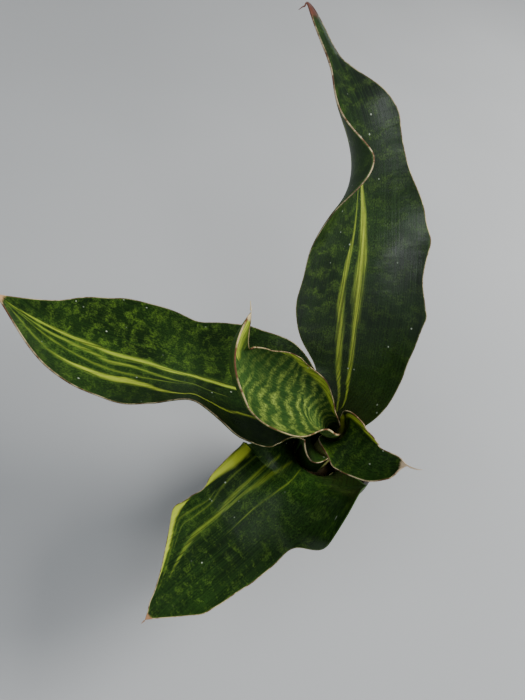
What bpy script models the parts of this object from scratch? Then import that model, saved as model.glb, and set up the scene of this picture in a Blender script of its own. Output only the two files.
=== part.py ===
"""Potted snake plant: a plain nursery pot, its potting mix, the rhizome and five leaves."""

import math

import bmesh
import bpy
import numpy as np

MM = 0.001

# Pot, in metres
POT_HEIGHT = 0.075
POT_TOP_R = 0.0405
POT_FOOT_R = 0.030
POT_WALL = 0.0018
RIM_STEP = 0.0016
RIM_DROP = 0.009
HOLE_R = 0.003
HOLE_RING_R = 0.017
HOLE_COUNT = 6
TURN_STEPS = 40

# Potting mix and rhizome
SOIL_DROP = 0.009
SOIL_CROWN = 0.0012
FIT_GAP = 0.0004
SEAT_DEPTH = 0.008
RHIZOME_R = 0.0195
RHIZOME_HEIGHT = 0.020
POCKET_GAP = 0.0015

# Leaves
LEAF_SCALE = 1.0
SHEATH_INNER_R = 0.005
SHEATH_GAP = 0.0011
THICK_MIDRIB = 0.0021
THICK_MARGIN = 0.0011
ROWS = 32
COLUMNS = 8

SOIL_Z = POT_HEIGHT - SOIL_DROP
SEAT_Z = POT_HEIGHT - LEAF_SCALE * (SOIL_DROP + SEAT_DEPTH)
SHEATH_STEP = THICK_MIDRIB + SHEATH_GAP
PLANT_R = LEAF_SCALE * (SHEATH_INNER_R + 4 * SHEATH_STEP + THICK_MIDRIB)

# Each leaf has the side it leans to (degrees anticlockwise from +Y), its sheath's place
# counted outwards from the centre, and its stations from the sheath to the tip. A station is
# the midrib's reach past the sheath, its rise above the rhizome and its drift to the leaf's
# left, then the left and right half widths (all in mm), the roll of the blade, and how far
# its left and right halves curl up (in degrees).
LEAVES = {
    "lower_leaf": (160, 4, (
        (0, 1, 0, 28, 28, 0, 90, 90),
        (0, 9, 0, 28, 28, 0, 80, 80),
        (7, 20, 0, 36, 34, 4, 54, 52),
        (23, 23, 2, 50, 44, 14, 65, 34),
        (43, 18, -1, 31, 46, -10, -4, 15),
        (68, 13, -5, 26, 40, -6, 13, 18),
        (94, 14, -10, 23, 38, -6, 14, 18),
        (114, 17, -14, 18, 15, 0, 16, 16),
        (135, 19, -16, 1, 1, -3, 18, 18),
    )),
    "upper_leaf": (26, 3, (
        (0, 1, 0, 21, 24, 0, 83, 95),
        (0, 19, 0, 21, 24, 0, 77, 88),
        (6, 35, -2, 21, 28, -2, 52, 60),
        (18, 62, -12, 24, 33, -24, 18, 42),
        (39, 96, -11, 42, 39, -16, 28, 40),
        (60, 123, -10, 45, 38, -2, 26, 30),
        (81, 146, -8, 43, 37, 8, 50, 20),
        (102, 168, -3, 37, 25, 4, 132, 20),
        (122, 188, 7, 23, 20, 8, 66, 30),
        (147, 199, 19, 7, 4, 12, 60, 32),
        (164, 216, 35, 1, 1, 6, 32, 32),
    )),
    "left_leaf": (100, 2, (
        (0, 1, 0, 21, 21, 0, 105, 105),
        (0, 30, 0, 21, 21, 0, 98, 98),
        (6, 48, 5, 22, 19, -4, 40, 78),
        (17, 60, -1, 36, 27, 1, 50, 53),
        (35, 65, -5, 54, 41, 6, 28, 51),
        (59, 68, -4, 50, 46, 5, 30, 30),
        (86, 72, -3, 45, 48, 14, 32, 22),
        (112, 77, -2, 43, 43, 7, 24, 22),
        (138, 85, 3, 40, 36, 3, 22, 22),
        (164, 98, 8, 29, 23, 0, 22, 20),
        (189, 118, 7, 1, 1, 4, 18, 16),
    )),
    "right_leaf": (235, 1, (
        (0, 1, 0, 16, 16, 0, 112, 112),
        (0, 40, 0, 16, 16, 0, 108, 108),
        (-1, 51, -2, 16, 15, 2, 100, 98),
        (1, 59, -7, 20, 16, -2, 76, 74),
        (11, 63, -7, 16, 18, 5, 50, 45),
        (24, 70, -7, 12, 13, 5, 40, 40),
        (32, 79, -1, 5, 9, 4, 37, 35),
        (36, 84, 0, 1, 1, 3, 36, 35),
    )),
    "centre_leaf": (105, 0, (
        (0, 1, 0, 12, 12, 0, 150, 150),
        (0, 40, 0, 12, 12, 0, 150, 150),
        (3, 54, 3, 12, 11, 0, 144, 144),
        (13, 69, 7, 17, 14, 1, 114, 114),
        (27, 87, 7, 23, 20, 1, 85, 85),
        (45, 98, 10, 31, 26, 0, 66, 66),
        (64, 108, 6, 28, 19, 0, 60, 60),
        (74, 121, 1, 19, 10, 2, 60, 58),
        (70, 132, -15, 1, 1, -6, 54, 54),
    )),
}


def clear_scene():
    for obj in list(bpy.data.objects):
        bpy.data.objects.remove(obj, do_unlink=True)


def new_collection(name):
    collection = bpy.data.collections.new(name)
    bpy.context.scene.collection.children.link(collection)
    return collection


def new_material(name, colour, roughness):
    material = bpy.data.materials.new(name)
    material.use_nodes = True
    shader = material.node_tree.nodes["Principled BSDF"]
    shader.inputs["Base Color"].default_value = (*colour, 1.0)
    shader.inputs["Roughness"].default_value = roughness
    shader.inputs["Metallic"].default_value = 0.0
    return material


def new_object(name, mesh, collection, material=None):
    obj = bpy.data.objects.new(name, mesh)
    collection.objects.link(obj)
    if material:
        mesh.materials.append(material)
    return obj


def turned(name, profile, collection, material):
    """Turn a profile of (radius, height) points, listed down its outer side, about Z."""
    mesh = bpy.data.meshes.new(name)
    edges = [(i, i + 1) for i in range(len(profile) - 1)]
    mesh.from_pydata([(r, 0.0, z) for r, z in profile], edges, [])
    obj = new_object(name, mesh, collection, material)
    screw = obj.modifiers.new("turn", "SCREW")
    screw.axis = "Z"
    screw.steps = screw.render_steps = TURN_STEPS
    screw.use_merge_vertices = True
    screw.merge_threshold = 0.00001
    screw.use_smooth_shade = True
    return obj


def wall_radius(z):
    """Outer radius of the pot's tapered wall at a height."""
    return POT_FOOT_R + (POT_TOP_R - RIM_STEP - POT_FOOT_R) * z / POT_HEIGHT


def build_pot(collection, cutters, material):
    half_wall = POT_WALL / 2
    lip_in = wall_radius(POT_HEIGHT) - POT_WALL
    rim_z = POT_HEIGHT - RIM_DROP
    profile = [
        (0.0, POT_WALL),
        (wall_radius(POT_WALL) - 2 * POT_WALL, POT_WALL),
        (wall_radius(2 * POT_WALL) - POT_WALL, 2 * POT_WALL),
        (lip_in, POT_HEIGHT - half_wall),
        (lip_in + half_wall, POT_HEIGHT),
        (POT_TOP_R - half_wall, POT_HEIGHT),
        (POT_TOP_R, POT_HEIGHT - half_wall),
        (POT_TOP_R - half_wall / 2, rim_z),
        (wall_radius(rim_z), rim_z - RIM_STEP / 2),
        (wall_radius(half_wall), half_wall),
        (POT_FOOT_R - half_wall, 0.0),
        (0.0, 0.0),
    ]
    pot = turned("pot", profile, collection, material)
    for i in range(HOLE_COUNT):
        angle = 2 * math.pi * (i + 0.5) / HOLE_COUNT
        mesh = bpy.data.meshes.new(f"hole_{i}")
        bm = bmesh.new()
        bmesh.ops.create_cone(bm, cap_ends=True, segments=16, radius1=HOLE_R,
                              radius2=HOLE_R, depth=4 * POT_WALL)
        bm.to_mesh(mesh)
        bm.free()
        hole = new_object(f"hole_{i}", mesh, cutters)
        hole.location = (HOLE_RING_R * math.cos(angle), HOLE_RING_R * math.sin(angle), 0.0)
        hole.hide_render = True
        hole.display_type = "WIRE"
        cut = pot.modifiers.new(f"hole_{i}", "BOOLEAN")
        cut.operation = "DIFFERENCE"
        cut.solver = "EXACT"
        cut.object = hole
    return pot


def build_soil(collection, material):
    pocket_r = max(PLANT_R, LEAF_SCALE * RHIZOME_R) + POCKET_GAP
    pocket_z = SEAT_Z - RHIZOME_HEIGHT - FIT_GAP
    edge_r = wall_radius(SOIL_Z) - POT_WALL - FIT_GAP
    base_z = 2 * POT_WALL + FIT_GAP
    foot_r = wall_radius(base_z) - POT_WALL - FIT_GAP
    profile = [
        (0.0, pocket_z),
        (pocket_r, pocket_z),
        (pocket_r, SOIL_Z + SOIL_CROWN - 0.5 * MM),
        (pocket_r + MM, SOIL_Z + SOIL_CROWN),
        ((pocket_r + edge_r) / 2, SOIL_Z + SOIL_CROWN / 2),
        (edge_r - MM, SOIL_Z),
        (edge_r, SOIL_Z - MM),
        (foot_r, base_z),
        (foot_r - 2 * POT_WALL, POT_WALL + FIT_GAP),
        (0.0, POT_WALL + FIT_GAP),
    ]
    return turned("potting_mix", profile, collection, material)


def build_rhizome(collection, material):
    radius = LEAF_SCALE * RHIZOME_R
    base_z = SEAT_Z - RHIZOME_HEIGHT
    top_z = SEAT_Z - FIT_GAP
    profile = [
        (0.0, top_z),
        (radius - 2.5 * MM, top_z),
        (radius - 0.8 * MM, top_z - 0.8 * MM),
        (radius, top_z - 3 * MM),
        (radius - 1.5 * MM, (top_z + base_z) / 2),
        (radius - 5 * MM, base_z + 3 * MM),
        (radius - 10 * MM, base_z),
        (0.0, base_z),
    ]
    return turned("rhizome", profile, collection, material)


def smooth_run(values, count):
    """Read a Catmull-Rom curve through rows of values at evenly spaced places."""
    values = np.asarray(values, dtype=float)
    ends = (2 * values[0] - values[1], 2 * values[-1] - values[-2])
    padded = np.vstack([ends[0], values, ends[1]])
    place = np.linspace(0, len(values) - 1, count)
    first = np.minimum(place.astype(int), len(values) - 2)
    t = (place - first)[:, None]
    p0, p1, p2, p3 = (padded[first + k] for k in range(4))
    return 0.5 * (2 * p1 + (p2 - p0) * t + (2 * p0 - 5 * p1 + 4 * p2 - p3) * t**2
                  + (3 * p1 - p0 - 3 * p2 + p3) * t**3)


def unit(vector):
    return vector / np.linalg.norm(vector)


def leaf_points(azimuth, place, stations):
    """Upper face of a leaf: ROWS + 1 cross-sections of COLUMNS + 1 points, in metres."""
    turn = math.radians(azimuth)
    out = np.array([-math.sin(turn), math.cos(turn), 0.0])
    left = np.array([-math.cos(turn), -math.sin(turn), 0.0])
    up = np.array([0.0, 0.0, 1.0])
    run = smooth_run(stations, ROWS + 1)
    sheath_r = LEAF_SCALE * (SHEATH_INNER_R + place * SHEATH_STEP)
    blade = LEAF_SCALE * MM * run
    midrib = ((sheath_r + blade[:, 0:1]) * out + blade[:, 2:3] * left
              + (SEAT_Z + blade[:, 1:2]) * up)
    along = np.gradient(midrib, axis=0)
    side = left
    points = np.empty((ROWS + 1, COLUMNS + 1, 3))
    across = np.linspace(-1.0, 1.0, COLUMNS + 1)
    for row in range(ROWS + 1):
        tangent = unit(along[row])
        side = unit(side - tangent * side.dot(tangent))
        inward = np.cross(tangent, side)
        roll = math.radians(run[row, 5])
        level = side * math.cos(roll) + inward * math.sin(roll)
        raised = inward * math.cos(roll) - side * math.sin(roll)
        for column, u in enumerate(across):
            half, curl = (3, 6) if u >= 0 else (4, 7)
            curled = math.radians(run[row, curl])
            radius = max(blade[row, half], 0.5 * MM) / curled
            bend = abs(u) * curled
            points[row, column] = (midrib[row]
                                   + level * math.copysign(radius * math.sin(bend), u)
                                   + raised * radius * (1 - math.cos(bend)))
    return points


def build_leaf(name, azimuth, place, stations, collection, material):
    """Shape a flat grid to the leaf's upper face and give it its thickness."""
    points = leaf_points(azimuth, place, stations)
    mesh = bpy.data.meshes.new(name)
    bm = bmesh.new()
    bmesh.ops.create_grid(bm, x_segments=COLUMNS, y_segments=ROWS, size=1.0)
    thick = {}
    bm.verts.ensure_lookup_table()
    for vert in bm.verts:
        column = round((vert.co.x + 1) * COLUMNS / 2)
        row = round((vert.co.y + 1) * ROWS / 2)
        off_midrib = abs(2 * column / COLUMNS - 1)
        thick[vert.index] = (1 - off_midrib**1.5) * (1 - (row / ROWS) ** 2)
        vert.co = points[row, column]
    bmesh.ops.reverse_faces(bm, faces=bm.faces)
    bm.to_mesh(mesh)
    bm.free()
    leaf = new_object(name, mesh, collection, material)
    group = leaf.vertex_groups.new(name="thickness")
    for index, weight in thick.items():
        group.add([index], max(weight, 0.0), "REPLACE")
    solid = leaf.modifiers.new("thickness", "SOLIDIFY")
    solid.thickness = LEAF_SCALE * THICK_MIDRIB
    solid.offset = -1.0
    solid.vertex_group = group.name
    solid.thickness_vertex_group = THICK_MARGIN / THICK_MIDRIB
    mesh.shade_smooth()
    return leaf


def main():
    clear_scene()
    parts = new_collection("potted_snake_plant")
    cutters = new_collection("cutters")
    plastic = new_material("pot_plastic", (0.045, 0.042, 0.040), 0.55)
    mix = new_material("potting_mix", (0.050, 0.030, 0.018), 0.95)
    root = new_material("rhizome", (0.45, 0.33, 0.16), 0.7)
    green = new_material("leaf_green", (0.020, 0.060, 0.016), 0.3)
    young = new_material("young_leaf_green", (0.090, 0.190, 0.050), 0.3)
    build_pot(parts, cutters, plastic)
    build_soil(parts, mix)
    build_rhizome(parts, root)
    for name, (azimuth, place, stations) in LEAVES.items():
        material = young if name == "centre_leaf" else green
        build_leaf(name, azimuth, place, stations, parts, material)


main()
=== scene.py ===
"""Looks of a potted snake plant: five leaves, rhizome, potting mix, nursery pot and studio."""

from __future__ import annotations

import logging
import math
from dataclasses import dataclass, field
from enum import Enum

import bmesh
import bpy
import numpy as np
from mathutils import Matrix, Vector, noise


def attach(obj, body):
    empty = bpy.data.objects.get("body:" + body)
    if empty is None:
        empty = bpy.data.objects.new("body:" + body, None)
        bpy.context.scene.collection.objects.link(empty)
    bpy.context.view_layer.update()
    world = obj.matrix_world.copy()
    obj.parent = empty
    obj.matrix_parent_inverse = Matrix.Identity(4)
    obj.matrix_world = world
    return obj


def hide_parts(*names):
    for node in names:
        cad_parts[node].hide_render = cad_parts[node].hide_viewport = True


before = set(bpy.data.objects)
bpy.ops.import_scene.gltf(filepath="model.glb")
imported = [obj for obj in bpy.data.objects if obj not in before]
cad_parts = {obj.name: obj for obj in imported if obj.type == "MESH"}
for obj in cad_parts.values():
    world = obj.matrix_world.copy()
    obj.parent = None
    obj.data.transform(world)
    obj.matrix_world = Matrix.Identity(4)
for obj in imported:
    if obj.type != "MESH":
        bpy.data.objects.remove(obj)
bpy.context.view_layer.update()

LOG = logging.getLogger("snake_plant")
MM = 0.001
ROOT = "root"
FULL_TURN = 2 * math.pi
# Largest chance heading of a loose bit, in radians.
SPIN_LIMIT = 6.28
Triple = tuple[float, float, float]
Colour = Triple
Faces = list[tuple[int, ...]]
Socket = bpy.types.NodeSocket


class Side(Enum):
    """A half of a leaf, seen looking outwards, with the sign of its places across the leaf."""

    LEFT = 1
    RIGHT = -1


class Grain(Enum):
    """A kind of loose bit on the potting mix, with the name of its piece."""

    BARK = "bark_chips"
    PERLITE = "perlite_bits"
    FIBRE = "coir_fibres"


class ShaderGraph:
    """A new material and short ways to add nodes to it."""

    def __init__(self, name: str) -> None:
        """Make the material.

        Args:
            name: The material's name.
        """
        self.material = bpy.data.materials.new(name)
        self.material.use_nodes = True
        self.tree = self.material.node_tree
        self.shader = self.tree.nodes["Principled BSDF"]

    def node(self, kind: str, **settings: object) -> bpy.types.Node:
        """Add a node.

        Args:
            kind: The node's type name.
            **settings: Values for the node's own properties.

        Returns:
            The new node.
        """
        made = self.tree.nodes.new(kind)
        for key, value in settings.items():
            setattr(made, key, value)
        return made

    def feed(self, target: Socket, value: Socket | float | Triple) -> None:
        """Link a socket to an input, or set the input's own value.

        Args:
            target: The input socket.
            value: An output socket, a number, a vector or a colour.
        """
        if isinstance(value, bpy.types.NodeSocket):
            self.tree.links.new(value, target)
        elif isinstance(value, tuple) and len(target.default_value) == 4:
            target.default_value = (*value, 1.0)
        else:
            target.default_value = value

    def attribute(self, name: str, output: str = "Fac") -> Socket:
        """Read a mesh attribute.

        Args:
            name: The attribute's name.
            output: Which output of the node to give back.

        Returns:
            The output socket.
        """
        return self.node("ShaderNodeAttribute", attribute_name=name).outputs[output]

    def object_space(self) -> Socket:
        """Return the object's own coordinates."""
        return self.node("ShaderNodeTexCoord").outputs["Object"]

    def scaled(self, vector: Socket, scale: Triple) -> Socket:
        """Stretch a vector.

        Args:
            vector: The coordinates.
            scale: How much to multiply each axis by.

        Returns:
            The stretched coordinates.
        """
        mapping = self.node("ShaderNodeMapping")
        self.feed(mapping.inputs["Vector"], vector)
        mapping.inputs["Scale"].default_value = scale
        return mapping.outputs["Vector"]

    def axis(self, vector: Socket, name: str) -> Socket:
        """Read one axis of a vector.

        Args:
            vector: The vector.
            name: The axis, X, Y or Z.

        Returns:
            The axis's socket.
        """
        split = self.node("ShaderNodeSeparateXYZ")
        self.feed(split.inputs[0], vector)
        return split.outputs[name]

    def noise(self, vector: Socket, scale: float | Triple, detail: float = 2.0,
              rough: float = 0.5, bend: float = 0.0) -> Socket:
        """Add a noise texture.

        Args:
            vector: The coordinates.
            scale: How much to multiply the coordinates by, all alike or axis by axis.
            detail: Number of finer layers.
            rough: Strength of each finer layer.
            bend: Distortion.

        Returns:
            The noise, from about 0.3 to 0.7.
        """
        if isinstance(scale, tuple):
            vector, scale = self.scaled(vector, scale), 1.0
        made = self.node("ShaderNodeTexNoise")
        self.feed(made.inputs["Vector"], vector)
        for key, number in zip(("Scale", "Detail", "Roughness", "Distortion"),
                               (scale, detail, rough, bend)):
            made.inputs[key].default_value = number
        return made.outputs["Fac"]

    def cells(self, vector: Socket) -> Socket:
        """Measure to the nearest of a scatter of points, about one a unit.

        Args:
            vector: The coordinates.

        Returns:
            The distance socket.
        """
        made = self.node("ShaderNodeTexVoronoi")
        self.feed(made.inputs["Vector"], vector)
        made.inputs["Scale"].default_value = 1.0
        return made.outputs["Distance"]

    def math(self, operation: str, *values: Socket | float) -> Socket:
        """Combine values.

        Args:
            operation: The Math node's operation.
            *values: Its inputs.

        Returns:
            The result socket.
        """
        made = self.node("ShaderNodeMath", operation=operation)
        for socket, value in zip(made.inputs, values):
            self.feed(socket, value)
        return made.outputs[0]

    def times(self, first: Socket, second: Socket | float) -> Socket:
        """Return the product of two values."""
        return self.math("MULTIPLY", first, second)

    def plus(self, value: Socket | float, added: Socket, share: float) -> Socket:
        """Return a value with a share of another added to it."""
        return self.math("MULTIPLY_ADD", added, share, value)

    def vary(self, value: Socket, noise_value: Socket, amount: float) -> Socket:
        """Return a value made uneven by a noise, up and down alike."""
        return self.plus(value, self.math("SUBTRACT", noise_value, 0.5), amount)

    def step(self, value: Socket, low: float, high: float,
             start: float = 0.0, end: float = 1.0) -> Socket:
        """Go smoothly from one value to another as the input passes a range.

        Args:
            value: The input.
            low: Where the change starts.
            high: Where it ends.
            start: The result below low.
            end: The result above high.

        Returns:
            The result socket.
        """
        made = self.node("ShaderNodeMapRange", interpolation_type="SMOOTHSTEP")
        for key, number in zip(("From Min", "From Max", "To Min", "To Max"),
                               (low, high, start, end)):
            made.inputs[key].default_value = number
        self.feed(made.inputs["Value"], value)
        return made.outputs["Result"]

    def mix(self, factor: Socket | float, first: Socket | Colour,
            second: Socket | Colour) -> Socket:
        """Mix two colours.

        Args:
            factor: Share of the second colour.
            first: The first colour.
            second: The second colour.

        Returns:
            The mixed colour.
        """
        made = self.node("ShaderNodeMix", data_type="RGBA")
        # The node has a set of sockets for each data type, and these are the colour's.
        for index, value in ((0, factor), (6, first), (7, second)):
            self.feed(made.inputs[index], value)
        return made.outputs[2]

    def bump(self, height: Socket, strength: float, depth: float,
             onto: Socket | None = None) -> Socket:
        """Turn a height into a surface normal.

        Args:
            height: The height, from 0 to 1.
            strength: Strength of the bump.
            depth: What a height of 1 stands for, in metres.
            onto: A normal to add it to.

        Returns:
            The normal socket.
        """
        made = self.node("ShaderNodeBump")
        made.inputs["Strength"].default_value = strength
        made.inputs["Distance"].default_value = depth
        self.feed(made.inputs["Height"], height)
        if onto is not None:
            self.feed(made.inputs["Normal"], onto)
        return made.outputs["Normal"]

    def finish(self, colour: Socket | Colour, rough: Socket | float,
               normal: Socket | None = None, **constants: float) -> bpy.types.Material:
        """Feed the shader.

        Args:
            colour: Base colour.
            rough: Roughness.
            normal: Surface normal.
            **constants: Other inputs, with underscores for spaces.

        Returns:
            The finished material.
        """
        self.feed(self.shader.inputs["Base Color"], colour)
        self.feed(self.shader.inputs["Roughness"], rough)
        if normal is not None:
            self.feed(self.shader.inputs["Normal"], normal)
        for key, number in constants.items():
            self.shader.inputs[key.replace("_", " ")].default_value = number
        return self.material


def smooth_step(value: np.ndarray, low: float, high: float) -> np.ndarray:
    """Go smoothly from 0 to 1.

    Args:
        value: The values.
        low: Where the change starts.
        high: Where it ends.

    Returns:
        The eased values.
    """
    t = np.clip((value - low) / (high - low), 0.0, 1.0)
    return t * t * (3 - 2 * t)


def smooth_run(rows: np.ndarray, place: np.ndarray) -> np.ndarray:
    """Read a Catmull-Rom curve through rows of values.

    Args:
        rows: The rows.
        place: Where to read, counted in rows.

    Returns:
        One row of values for each place.
    """
    padded = np.vstack([2 * rows[0] - rows[1], rows, 2 * rows[-1] - rows[-2]])
    first = np.minimum(place.astype(int), len(rows) - 2)
    t = (place - first)[:, None]
    p0, p1, p2, p3 = (padded[first + k] for k in range(4))
    return 0.5 * (2 * p1 + (p2 - p0) * t + (2 * p0 - 5 * p1 + 4 * p2 - p3) * t**2
                  + (3 * p1 - p0 - 3 * p2 + p3) * t**3)


def linked(name: str, data: bpy.types.ID) -> bpy.types.Object:
    """Make an object and put it in the scene.

    Args:
        name: Its name.
        data: Its mesh, light or camera.

    Returns:
        The new object.
    """
    made = bpy.data.objects.new(name, data)
    bpy.context.scene.collection.objects.link(made)
    return made


def mesh_object(name: str, points: np.ndarray, faces: Faces,
                material: bpy.types.Material) -> bpy.types.Object:
    """Make a smooth object that rides on the plant's one body.

    Args:
        name: The piece's name.
        points: Its points, in metres.
        faces: Its faces.
        material: Its material.

    Returns:
        The new object.
    """
    mesh = bpy.data.meshes.new(name)
    mesh.from_pydata(points.tolist(), [], faces)
    mesh.validate()
    mesh.shade_smooth()
    mesh.materials.append(material)
    made = linked(name, mesh)
    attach(made, ROOT)
    return made


def ring_faces(rows: int, columns: int) -> Faces:
    """List the faces between rows of points that each close into a ring.

    Args:
        rows: Number of rings.
        columns: Points in a ring.

    Returns:
        The side faces, then one face over each end.
    """
    faces = []
    for row in range(rows - 1):
        for column in range(columns):
            near, far = row * columns, (row + 1) * columns
            beside = (column + 1) % columns
            faces.append((near + column, near + beside, far + beside, far + column))
    faces.append(tuple(reversed(range(columns))))
    faces.append(tuple(range((rows - 1) * columns, rows * columns)))
    return faces


def store(mesh: bpy.types.Mesh, name: str, values: np.ndarray) -> None:
    """Keep a value or a vector for each of a mesh's points.

    Args:
        mesh: The mesh.
        name: The attribute's name.
        values: One number or one vector a point.
    """
    kind, slot = ("FLOAT", "value") if values.ndim == 1 else ("FLOAT_VECTOR", "vector")
    made = mesh.attributes.new(name, kind, "POINT")
    made.data.foreach_set(slot, values.astype(np.float32).ravel())


@dataclass(frozen=True)
class Streak:
    """A pale stripe along a leaf.

    Attributes:
        path: Places along and across the leaf, each as a share of it.
        widths: Half width in mm at each place.
        strength: How clearly it shows.
        yellow: Share of yellow in its green.
        fringe: How far thin lines show beside it, in its own half widths.
        solid: How little the leaf's lines break it up, from 0 to 1.
    """

    path: tuple[tuple[float, float], ...]
    widths: tuple[float, ...]
    strength: float
    yellow: float
    fringe: float = 2.2
    solid: float = 0.3

    def offset(self, along: np.ndarray, across: np.ndarray,
               half_width: np.ndarray) -> np.ndarray:
        """Measure from the stripe's middle, in its own half widths.

        Args:
            along: Share of the leaf's length, for each row.
            across: Share of the half width, for each row and column.
            half_width: Half width in mm, for each row and column.

        Returns:
            The offset for each row and column.
        """
        places = np.array(self.path)
        middle = np.interp(along, places[:, 0], places[:, 1])[:, None]
        width = np.interp(along, places[:, 0], self.widths)[:, None]
        return np.clip((across - middle) * half_width / width, -9, 9)

    def presence(self, along: np.ndarray) -> np.ndarray:
        """Return 1 along the stripe and 0 past its ends."""
        past = np.maximum(self.path[0][0] - along, along - self.path[-1][0])
        return 1 - smooth_step(past, -0.01, 0.02)


@dataclass(frozen=True)
class LeafFinish:
    """Colours and pattern of one leaf.

    Attributes:
        name: The material's name.
        pitch: Distance between cross bands in mm.
        banded: Share of cross bands in the pattern, the rest being clouds.
        low: How little of the leaf is mottled.
        soft: Softness of the patches' edges.
        mottle: Places along the leaf with the strength of the pattern on its right and left.
        streaks: Its stripes.
        jagged: How ragged the cross bands are.
        deep: Darkest green.
        mid: Ground green.
        pale: Green of the mottled patches.
        stripe_green: Outer colour of a stripe.
        stripe_yellow: Inner colour of a stripe.
        fleck: Colour of the small pale dots.
        margin: Pale colour of the horny margin.
        margin_brown: Brown colour of the horny margin.
        margin_mm: How far up the leaf the margin starts to show its own colours.
        margin_fade: Length over which they come in.
        sheath: Colour of the hidden base.
        sheath_mm: How far up the leaf that colour reaches.
        dry: Colour of the dry tip.
        dry_mm: Length of the dry tip.
        rough: Roughness.
        shine: Strength of its reflections.
        coat: Strength of its waxy top layer.
    """

    name: str
    pitch: float
    banded: float
    low: float
    soft: float
    mottle: tuple[Triple, ...]
    streaks: tuple[Streak, ...]
    jagged: float = 4.2
    deep: Colour = (0.0034, 0.0100, 0.0022)
    mid: Colour = (0.0160, 0.0430, 0.0068)
    pale: Colour = (0.085, 0.160, 0.018)
    stripe_green: Colour = (0.095, 0.175, 0.024)
    stripe_yellow: Colour = (0.46, 0.53, 0.045)
    fleck: Colour = (0.32, 0.36, 0.28)
    margin: Colour = (0.46, 0.37, 0.23)
    margin_brown: Colour = (0.11, 0.052, 0.028)
    margin_mm: float = 0.0
    margin_fade: float = 14.0
    sheath: Colour = (0.50, 0.48, 0.22)
    sheath_mm: float = 1.0
    dry: Colour = (0.42, 0.26, 0.13)
    dry_mm: float = 3.5
    rough: float = 0.36
    shine: float = 0.11
    coat: float = 0.02

    def material(self) -> bpy.types.Material:
        """Build the leaf's material.

        Returns:
            The material.
        """
        g = ShaderGraph(self.name)
        place = g.attribute("leaf_mm", "Vector")
        jag = g.noise(place, (1.1, 0.20, 0.2), 3.0, 0.65)
        vein = g.noise(place, (1.9, 0.014, 0.2))
        region = g.noise(place, (0.030, 0.022, 0.1))
        speck = g.noise(place, (1.25, 0.85, 0.5), 3.0, 0.7)
        patch = self._patches(g, place, jag, speck)
        ground = g.mix(g.step(region, 0.35, 0.65), self.deep, self.mid)
        ground = g.mix(g.step(speck, 0.42, 0.62, 0.8, 0.0), ground, self.deep)
        ground = g.mix(g.step(vein, 0.42, 0.64, 0.0, 0.45), ground, self.mid)
        colour = g.mix(patch, ground, self.pale)
        colour = self._stripes(g, colour, place)
        colour = self._ends(g, colour, place, jag)
        rough = g.step(g.noise(place, 0.05, 3.0), 0.3, 0.7, self.rough - 0.06, self.rough + 0.08)
        rough = g.plus(g.vary(rough, vein, 0.25), g.attribute("under"), 0.22)
        # Broad ripples, then fine veins, then the skin's own grain.
        ripple = g.noise(place, (0.06, 0.16, 0.1))
        grain = g.noise(place, (2.4, 0.6, 1.0), 3.0, 0.6)
        normal = g.bump(ripple, 0.30, 1.4 * MM)
        normal = g.bump(vein, 0.35, 0.35 * MM, normal)
        normal = g.bump(grain, 0.25, 0.16 * MM, normal)
        return g.finish(colour, rough, normal, Specular_IOR_Level=self.shine,
                        Coat_Weight=self.coat, Coat_Roughness=0.18)

    def _patches(self, g: ShaderGraph, place: Socket, jag: Socket, speck: Socket) -> Socket:
        """Mask the mottled patches, part cross bands and part clouds.

        Args:
            g: The material's graph.
            place: Place on the leaf in mm.
            jag: Noise drawn out along the leaf.
            speck: Fine noise.

        Returns:
            How pale the leaf is, from 0 to 1.
        """
        warp = g.noise(place, (0.085, 0.045, 0.1), 2.0, 0.5, 0.4)
        cloud = g.noise(place, (0.13, 0.19, 0.1), 3.0, 0.65, 0.7)
        turn = g.times(g.axis(place, "Y"), FULL_TURN / self.pitch)
        turn = g.plus(g.plus(turn, warp, 15.0), jag, self.jagged)
        # The bands swing about as far as the clouds do, so that one threshold suits both.
        wave = g.plus(0.5, g.math("SINE", turn), 0.16)
        mixed = g.plus(g.times(wave, self.banded), cloud, 1.0 - self.banded)
        mixed = g.vary(mixed, speck, 0.30)
        patch = g.step(mixed, self.low, self.low + self.soft)
        patch = g.times(patch, g.step(speck, 0.36, 0.62, 0.30, 1.0))
        return g.times(patch, g.attribute("mottle"))

    def _stripes(self, g: ShaderGraph, colour: Socket, place: Socket) -> Socket:
        """Lay the leaf's stripes over its ground colour.

        Args:
            g: The material's graph.
            colour: The ground colour.
            place: Place on the leaf in mm.

        Returns:
            The colour with its stripes.
        """
        lines = g.noise(place, (0.95, 0.012, 0.2), 3.0, 0.6)
        sway = g.noise(place, (0.30, 0.045, 0.2), 3.0, 0.6)
        worn = g.noise(place, (0.9, 0.07, 0.2), 3.0, 0.7)
        for number, streak in enumerate(self.streaks):
            away = g.math("ABSOLUTE", g.attribute(f"streak_{number}"))
            away = g.vary(away, sway, 1.3)
            core = g.step(away, 0.35, 1.25, 1.0, 0.0)
            core = g.times(core, g.step(lines, 0.38, 0.52, streak.solid, 1.0))
            core = g.times(core, g.step(worn, 0.36, 0.56, 0.5 + 0.5 * streak.solid, 1.0))
            fringe = g.times(g.step(away, 0.8, streak.fringe, 0.45, 0.0),
                             g.step(lines, 0.48, 0.60))
            mask = g.times(g.math("MAXIMUM", core, fringe), streak.strength)
            mask = g.times(mask, g.attribute(f"presence_{number}"))
            inner = g.step(away, 0.15, 1.0, min(1.0, streak.yellow + 0.2), streak.yellow - 0.25)
            tint = g.mix(inner, self.stripe_green, self.stripe_yellow)
            colour = g.mix(mask, colour, tint)
        return colour

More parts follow.
